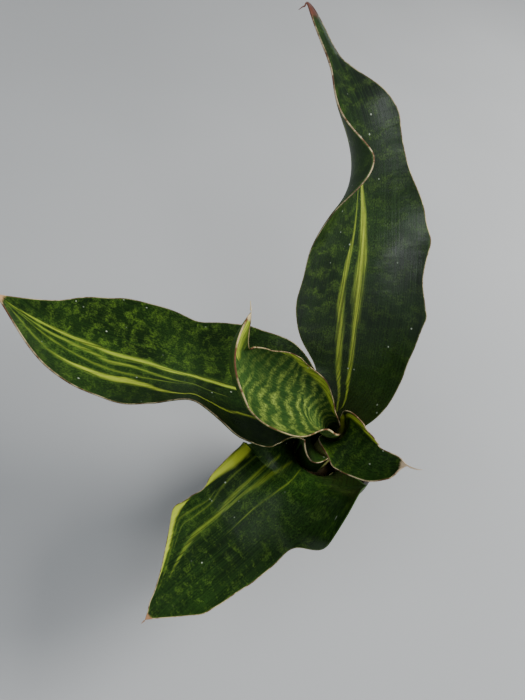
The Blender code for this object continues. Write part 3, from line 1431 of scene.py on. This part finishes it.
@dataclass
class Studio:
    """Plain pale floor, soft light and the camera, in metres, watts and degrees.

    Attributes:
        floor_colour: Colour of the floor.
        floor_half: Half the floor's side.
        sky_colour: Colour of the even light.
        sky_strength: Its strength.
        aim: The point that the lamps shine at.
        location: Where the camera is.
        tilt: How far it looks out from straight down.
        roll: How far it is turned about its own line of sight.
        lens: Its focal length in mm.
        sensor: Its sensor's width in mm.
    """

    floor_colour: Colour = (0.385, 0.394, 0.402)
    floor_half: float = 6.0
    sky_colour: Colour = (0.90, 0.95, 1.0)
    sky_strength: float = 0.30
    aim: Triple = (0.0, 0.0, 0.12)
    location: Triple = (-0.0637, -0.1726, 0.4053)
    tilt: float = 35.0
    roll: float = 22.0
    lens: float = 27.05
    sensor: float = 36.0

    def build(self) -> None:
        """Set up the floor, the light and the camera."""
        self._floor()
        self._world()
        self._area("key_light", (1.02, 0.72, 0.95), 0.85, 44.0, (1.0, 0.99, 0.96))
        self._area("front_light", (0.24, -0.36, 1.0), 0.40, 2.0, (0.94, 0.97, 1.0), True)
        self._area("fill_light", (-0.9, -0.7, 1.3), 1.4, 13.0, (0.96, 0.98, 1.0))
        self._camera()

    def _floor(self) -> None:
        """Lay the floor."""
        g = ShaderGraph("floor_paint")
        soft = g.noise(g.object_space(), 3.0)
        shade = tuple(0.94 * part for part in self.floor_colour)
        colour = g.mix(g.step(soft, 0.3, 0.7), shade, self.floor_colour)
        mesh = bpy.data.meshes.new("floor")
        half = self.floor_half
        corners = [(-half, -half, 0), (half, -half, 0), (half, half, 0), (-half, half, 0)]
        mesh.from_pydata(corners, [], [(0, 1, 2, 3)])
        mesh.materials.append(g.finish(colour, 0.85))
        floor = linked("floor", mesh)

    def _world(self) -> None:
        """Set up the even light from all round."""
        world = bpy.data.worlds.new("studio")
        world.use_nodes = True
        background = world.node_tree.nodes["Background"]
        background.inputs["Color"].default_value = (*self.sky_colour, 1.0)
        background.inputs["Strength"].default_value = self.sky_strength
        bpy.context.scene.world = world

    def _area(self, name: str, place: Triple, size: float, power: float,
              colour: Colour, mirrored: bool = False) -> None:
        """Add a soft light that shines on the plant.

        Args:
            name: Its name.
            place: Where it hangs.
            size: Side of its square face.
            power: Its power in watts.
            colour: Its colour.
            mirrored: Whether it shows in glossy surfaces.
        """
        light = bpy.data.lights.new(name, "AREA")
        light.size = size
        light.energy = power
        light.color = colour
        lamp = linked(name, light)
        lamp.location = place
        lamp.visible_glossy = mirrored
        heading = Vector(self.aim) - Vector(place)
        lamp.rotation_euler = heading.to_track_quat("-Z", "Y").to_euler()

    def _camera(self) -> None:
        """Look down at the plant with the picture turned a little."""
        data = bpy.data.cameras.new("camera")
        data.lens = self.lens
        data.sensor_width = self.sensor
        data.clip_start = 0.01
        camera = linked("camera", data)
        camera.matrix_world = (Matrix.Translation(self.location)
                               @ Matrix.Rotation(math.radians(self.tilt), 4, "X")
                               @ Matrix.Rotation(math.radians(self.roll), 4, "Z"))
        bpy.context.scene.camera = camera


# Finishes of the leaves. A stripe's path goes along the leaf and across it, from -1 at the
# right margin to 1 at the left, with its half width in mm at each place.
LOWER_FINISH = LeafFinish(
    "lower_leaf_skin", pitch=9.0, banded=0.15, low=0.48, soft=0.22,
    margin_mm=45.0, dry=(0.26, 0.14, 0.07), dry_mm=2.2,
    mottle=((0.0, 0.1, 0.1), (0.35, 0.30, 0.34), (0.55, 0.36, 0.40), (1.0, 0.42, 0.46)),
    streaks=(
        Streak(((0.37, -0.93), (0.42, -0.91), (0.50, -0.92), (0.58, -0.97), (0.62, -1.0)),
               (3.0, 4.6, 5.0, 2.2, 0.6), 1.0, 0.8, 1.1, 0.9),
        Streak(((0.70, -0.97), (0.74, -0.93), (0.78, -0.93), (0.84, -0.96), (0.90, -1.0)),
               (0.5, 3.2, 3.4, 2.2, 0.6), 1.0, 0.75, 1.1, 0.85),
        Streak(((0.28, -0.52), (0.48, -0.52), (0.59, -0.52), (0.70, -0.48), (0.75, -0.43),
                (0.86, -0.49)), (1.4, 2.0, 2.4, 2.6, 2.2, 0.7), 0.52, 0.12),
        Streak(((0.25, -0.28), (0.38, -0.36), (0.50, -0.42), (0.60, -0.46)),
               (1.6, 2.8, 2.4, 0.8), 0.45, 0.10),
        Streak(((0.25, -0.04), (0.43, -0.13), (0.54, -0.17), (0.64, -0.18)),
               (0.5, 0.9, 0.8, 0.3), 0.40, 0.15),
        Streak(((0.34, -0.70), (0.50, -0.74), (0.60, -0.74), (0.71, -0.69), (0.80, -0.70)),
               (0.5, 1.0, 1.2, 1.0, 0.4), 0.32, 0.05),
        Streak(((0.60, -0.80), (0.72, -0.80), (0.84, -0.78), (0.92, -0.76)),
               (0.4, 1.3, 1.0, 0.4), 0.30, 0.05),
    ))
UPPER_FINISH = LeafFinish(
    "upper_leaf_skin", pitch=13.0, banded=0.45, low=0.47, soft=0.22,
    margin_mm=45.0, sheath_mm=5.0, dry=(0.11, 0.036, 0.022), dry_mm=7.0, shine=0.50, coat=0.04,
    mottle=((0.0, 0.1, 0.15), (0.30, 0.15, 0.35), (0.45, 0.28, 0.5), (0.62, 0.30, 0.45),
            (0.75, 0.45, 0.4), (1.0, 0.3, 0.3)),
    streaks=(
        Streak(((0.23, -0.30), (0.25, -0.22), (0.28, -0.06), (0.31, 0.03), (0.35, 0.06),
                (0.40, 0.06), (0.44, 0.08), (0.51, 0.07), (0.57, 0.09), (0.63, 0.12),
                (0.68, 0.15)),
               (0.5, 0.9, 1.2, 1.6, 2.2, 2.9, 3.6, 3.7, 3.0, 2.0, 0.6), 1.0, 0.45, 1.2),
        Streak(((0.21, -0.27), (0.25, -0.05), (0.28, 0.23), (0.31, 0.36), (0.35, 0.32),
                (0.39, 0.29), (0.43, 0.31), (0.47, 0.32), (0.54, 0.28)),
               (0.8, 1.3, 1.8, 2.1, 2.6, 3.1, 3.4, 2.4, 0.6), 0.95, 0.38, 1.2),
        Streak(((0.47, 0.28), (0.52, 0.26), (0.58, 0.24), (0.65, 0.22)),
               (0.4, 0.9, 0.8, 0.3), 0.7, 0.3),
        Streak(((0.66, 0.46), (0.68, 0.48), (0.73, 0.49), (0.77, 0.79), (0.80, 0.90)),
               (0.5, 1.4, 1.5, 1.2, 0.3), 0.8, 0.6),
    ))
LEFT_FINISH = LeafFinish(
    "left_leaf_skin", pitch=12.0, banded=0.35, low=0.44, soft=0.26, margin_mm=14.0,
    mottle=((0.0, 0.2, 0.2), (0.45, 0.50, 0.15), (0.60, 0.85, 0.22), (0.75, 0.95, 0.45),
            (0.88, 0.7, 0.55), (1.0, 0.2, 0.4)),
    streaks=(
        Streak(((0.44, 0.05), (0.50, 0.06), (0.56, 0.07), (0.65, 0.12), (0.74, 0.07),
                (0.80, 0.03), (0.86, -0.05), (0.90, -0.12), (0.94, -0.09), (0.97, -0.02)),
               (0.9, 1.4, 1.8, 2.1, 2.3, 2.2, 1.8, 1.3, 0.8, 0.4), 0.95, 0.36, 1.8),
        Streak(((0.40, 0.47), (0.50, 0.46), (0.56, 0.55), (0.62, 0.76), (0.66, 0.66),
                (0.70, 0.58), (0.76, 0.50), (0.81, 0.52), (0.85, 0.49), (0.88, 0.48)),
               (0.7, 1.4, 1.2, 1.1, 1.7, 2.3, 3.1, 2.2, 1.3, 0.5), 0.95, 0.55, 1.5, 0.4),
        Streak(((0.53, 0.24), (0.61, 0.34), (0.69, 0.28), (0.75, 0.21), (0.79, 0.21),
                (0.83, 0.12), (0.88, 0.05), (0.92, 0.04), (0.95, 0.06)),
               (0.4, 0.9, 1.5, 1.9, 2.0, 1.8, 1.4, 1.0, 0.4), 0.7, 0.15),
        Streak(((0.62, 0.38), (0.72, 0.40), (0.82, 0.33), (0.90, 0.18), (0.97, 0.10)),
               (0.5, 1.3, 1.4, 1.0, 0.3), 0.45, 0.12),
        Streak(((0.82, 0.58), (0.88, 0.50), (0.94, 0.42), (0.98, 0.3)),
               (0.5, 2.0, 1.4, 0.4), 0.4, 0.1, 2.0),
    ))
RIGHT_FINISH = LeafFinish(
    "right_leaf_skin", pitch=7.0, banded=0.4, low=0.45, soft=0.24, jagged=2.4,
    sheath=(0.40, 0.41, 0.13), sheath_mm=42.0, dry=(0.55, 0.42, 0.28), dry_mm=4.0,
    mottle=((0.0, 0.3, 0.3), (0.36, 0.75, 0.6), (0.55, 0.60, 0.35), (0.7, 0.22, 0.25),
            (1.0, 0.3, 0.4)),
    streaks=(
        Streak(((0.36, 0.80), (0.46, 0.86), (0.53, 0.90), (0.64, 0.95), (0.76, 1.0)),
               (1.2, 2.6, 2.0, 1.6, 0.5), 0.9, 0.5, 1.4),
        Streak(((0.10, 0.82), (0.15, 0.88), (0.21, 0.93), (0.27, 0.95), (0.32, 0.96)),
               (3.0, 4.0, 4.5, 4.5, 2.5), 0.95, 0.9, 1.3, 0.9),
    ))
CENTRE_FINISH = LeafFinish(
    "centre_leaf_skin", pitch=7.4, banded=0.56, low=0.42, soft=0.34, jagged=2.0,
    deep=(0.013, 0.034, 0.008), mid=(0.036, 0.080, 0.017), pale=(0.245, 0.325, 0.055),
    margin=(0.40, 0.32, 0.17), sheath_mm=20.0, dry=(0.50, 0.40, 0.22), dry_mm=3.0,
    rough=0.46, shine=0.05, coat=0.0,
    mottle=((0.0, 0.4, 0.4), (0.38, 0.7, 0.9), (0.50, 0.75, 1.0), (0.62, 0.6, 0.95),
            (0.75, 0.25, 0.75), (0.85, 0.12, 0.3), (1.0, 0.1, 0.1)),
    streaks=(
        Streak(((0.34, -0.95), (0.44, -0.90), (0.52, -0.89), (0.60, -0.92), (0.70, -0.97)),
               (0.8, 2.2, 2.6, 2.0, 0.6), 0.85, 0.45, 1.5),
        Streak(((0.84, -0.10), (0.90, 0.0), (1.0, 0.0)), (2.0, 7.0, 6.0), 0.9, 0.55, 1.5),
    ))

# The leaves, from the outermost sheath inwards.
LEAVES = (
    Leaf("lower_leaf", 160, 4, (
        (0, 1, 0, 28, 28, 0, 90, 90),
        (0, 9, 0, 28, 28, 0, 80, 80),
        (7, 20, 0, 36, 34, 4, 54, 52),
        (23, 23, 2, 50, 44, 14, 65, 34),
        (43, 18, -1, 31, 46, -10, -4, 15),
        (68, 13, -5, 26, 40, -6, 13, 18),
        (94, 14, -10, 23, 38, -6, 14, 18),
        (114, 17, -14, 18, 15, 0, 16, 16),
        (135, 19, -16, 1, 1, -3, 18, 18),
    ), LOWER_FINISH, awn=((137, 19.2, -16.2), (139, 19.4, -16.5)), ripple=0.3, phase=0.4, dents=(
        (Side.LEFT, 0.262, 0.042, 7.4, 0.0), (Side.LEFT, 0.400, 0.040, -3.0, 0.0),
        (Side.LEFT, 0.50, 0.04, -0.8, 0.5), (Side.RIGHT, 0.46, 0.06, -3.0, 0.0),
        (Side.RIGHT, 0.735, 0.022, 1.6, 0.0), (Side.RIGHT, 0.64, 0.05, -1.6, 0.0),
        (Side.RIGHT, 0.955, 0.02, 0.8, 0.0),
    )),
    Leaf("upper_leaf", 26, 3, (
        (0, 1, 0, 21, 24, 0, 83, 95),
        (0, 19, 0, 21, 24, 0, 77, 88),
        (6, 35, -2, 21, 28, -2, 52, 60),
        (18, 62, -12, 24, 33, -24, 18, 42),
        (39, 96, -11, 42, 39, -16, 28, 40),
        (60, 123, -10, 45, 38, -2, 26, 30),
        (81, 146, -8, 43, 37, 8, 50, 20),
        (102, 168, -3, 37, 25, 4, 132, 20),
        (122, 188, 7, 23, 20, 8, 66, 30),
        (147, 199, 19, 7, 4, 12, 60, 32),
        (164, 216, 35, 1, 1, 6, 32, 32),
    ), UPPER_FINISH, awn=((164.2, 216, 38.8), (162.8, 214.4, 41.8)), ripple=0.25, phase=1.7, dents=(
        (Side.LEFT, 0.945, 0.05, 1.2, 0.0), (Side.RIGHT, 0.945, 0.05, 1.2, 0.0),
        (Side.RIGHT, 0.552, 0.022, 2.4, 0.0), (Side.RIGHT, 0.475, 0.035, -1.6, 0.0),
        (Side.RIGHT, 0.422, 0.012, 1.4, 0.0), (Side.RIGHT, 0.350, 0.02, -1.0, 0.0),
        (Side.RIGHT, 0.765, 0.022, 1.4, 0.0), (Side.RIGHT, 0.66, 0.05, -1.4, 0.0),
    )),
    Leaf("left_leaf", 100, 2, (
        (0, 1, 0, 21, 21, 0, 105, 105),
        (0, 30, 0, 21, 21, 0, 98, 98),
        (6, 48, 5, 22, 19, -4, 40, 78),
        (17, 60, -1, 36, 27, 1, 50, 53),
        (35, 65, -5, 54, 41, 6, 28, 51),
        (59, 68, -4, 50, 46, 5, 30, 30),
        (86, 72, -3, 45, 48, 14, 32, 22),
        (112, 77, -2, 43, 43, 7, 24, 22),
        (138, 85, 3, 40, 36, 3, 22, 22),
        (164, 98, 8, 29, 23, 0, 22, 20),
        (189, 118, 7, 1, 1, 4, 18, 16),
    ), LEFT_FINISH, awn=((191, 120, 7), (193, 122, 6.5)), ripple=0.3, phase=2.9, dents=(
        (Side.LEFT, 0.605, 0.026, -6.5, -1.5), (Side.LEFT, 0.52, 0.045, 5.8, 2.5),
        (Side.LEFT, 0.455, 0.03, 2.5, 0.0), (Side.LEFT, 0.40, 0.022, -3.5, 0.0),
        (Side.LEFT, 0.80, 0.06, 2.0, 0.5), (Side.RIGHT, 0.60, 0.035, -2.0, 0.0),
    )),
    Leaf("right_leaf", 235, 1, (
        (0, 1, 0, 16, 16, 0, 112, 112),
        (0, 40, 0, 16, 16, 0, 108, 108),
        (-1, 51, -2, 16, 15, 2, 100, 98),
        (1, 59, -7, 20, 16, -2, 76, 74),
        (11, 63, -7, 16, 18, 5, 50, 45),
        (24, 70, -7, 12, 13, 5, 40, 40),
        (32, 79, -1, 5, 9, 4, 37, 35),
        (36, 84, 0, 1, 1, 3, 36, 35),
    ), RIGHT_FINISH, awn=((39, 86, 0.8), (42, 88, 2.0), (44, 89, 4.0)), ripple=0.2, phase=4.1),
    Leaf("centre_leaf", 105, 0, (
        (0, 1, 0, 12, 12, 0, 150, 150),
        (0, 40, 0, 12, 12, 0, 150, 150),
        (3, 54, 3, 12, 11, 0, 144, 144),
        (13, 69, 7, 17, 14, 1, 114, 114),
        (27, 87, 7, 23, 20, 1, 85, 85),
        (45, 98, 10, 31, 26, 0, 66, 66),
        (64, 108, 6, 28, 19, 0, 60, 60),
        (74, 121, 1, 19, 10, 2, 60, 58),
        (70, 132, -15, 1, 1, -6, 54, 54),
    ), CENTRE_FINISH, awn=((70, 134, -18), (71, 136, -22)), ripple=0.25, phase=5.3),
)

PEAT = EarthFinish("peat_mix", (0.010, 0.0065, 0.0045), (0.050, 0.030, 0.018),
                   (0.11, 0.075, 0.045), 1.4, 0.93, 0.5)
GRAINS = (
    GrainMix(Grain.BARK, 190, 1.8, 5.2, 0.34,
             EarthFinish("bark", (0.035, 0.018, 0.010), (0.13, 0.070, 0.036),
                         (0.24, 0.15, 0.085), 1.1, 0.85, 0.25, (0.5, 1.2, 1.0))),
    GrainMix(Grain.PERLITE, 75, 1.0, 2.6, 0.85,
             EarthFinish("perlite", (0.46, 0.43, 0.37), (0.78, 0.77, 0.73),
                         (0.88, 0.87, 0.84), 0.5, 0.8, 0.12)),
    GrainMix(Grain.FIBRE, 80, 4.0, 12.0, 0.2,
             EarthFinish("coir", (0.10, 0.055, 0.025), (0.27, 0.17, 0.085),
                         (0.36, 0.25, 0.14), 0.7, 0.8, 0.05)),
)


def report(piece: bpy.types.Object) -> bpy.types.Object:
    """Log a finished piece.

    Args:
        piece: The piece.

    Returns:
        The same piece.
    """
    LOG.info("%s: %d faces", piece.name, len(piece.data.polygons))
    return piece


@dataclass
class SnakePlant:
    """The whole plant in its pot, in mm.

    Attributes:
        leaves: Its leaves.
        pot: Its pot.
        rhizome: Its rhizome.
        seat: Height of the rhizome's top.
        surface: Height of the mix at the wall.
        crown: How much higher the mix is by the plant.
        pocket_gap: Space round the rhizome.
        gap: Space between the pot and the mix, and under the rhizome.
    """

    leaves: tuple[Leaf, ...]
    pot: NurseryPot
    rhizome: Rhizome
    seat: float = 58.0
    surface: float = 66.0
    crown: float = 1.2
    pocket_gap: float = 1.5
    gap: float = 0.4

    def build(self) -> None:
        """Build every piece and report each one."""
        blades = [report(leaf.build(self.seat * MM)) for leaf in self.leaves]
        report(self.rhizome.build(self.seat * MM))
        report(self.pot.build())
        for piece in self.bed().build(blades):
            report(piece)

    def bed(self) -> PottingBed:
        """Fit the potting mix to the pot.

        Returns:
            The bed.
        """
        wall, gap = self.pot.wall, self.gap
        base = 2 * wall + gap
        return PottingBed(
            surface=self.surface, crown=self.crown,
            edge=self.pot.wall_radius(self.surface) - wall - gap,
            foot=self.pot.wall_radius(base) - wall - gap,
            base_z=base, floor_z=wall + gap, rhizome=self.rhizome.radius + self.pocket_gap,
            pocket_z=self.seat - self.rhizome.height - gap, grains=GRAINS, finish=PEAT)


def main() -> None:
    """Build the plant and its studio in order."""
    logging.basicConfig(level=logging.INFO)
    SnakePlant(LEAVES, NurseryPot(), Rhizome()).build()
    Studio().build()
    LOG.info("studio ready")


if __name__ == "__main__":
    main()
